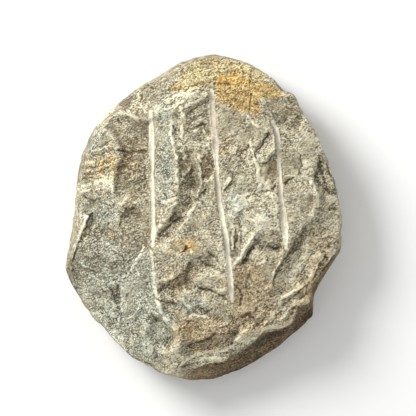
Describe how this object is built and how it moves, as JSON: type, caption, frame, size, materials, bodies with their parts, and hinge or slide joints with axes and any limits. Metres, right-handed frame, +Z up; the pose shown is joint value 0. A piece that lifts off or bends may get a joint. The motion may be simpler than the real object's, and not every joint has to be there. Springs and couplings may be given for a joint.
{
  "type": "grooved stone slab",
  "caption": "Hand-sized oval slab of rough split slate with long parallel grooves in its upper side, lying on a flat cleavage face.",
  "frame": {"origin": "middle of the flat cleavage face that the slab rests on", "axes": "+Z up, out of the grooved side; +Y along the grooves, towards the ochre end"},
  "size_m": [0.1112, 0.1311, 0.0355],
  "materials": {
    "slate": "rough matte split face"
  },
  "bodies": {
    "root": {"grooved_stone": "slate"}
  },
  "joints": []
}
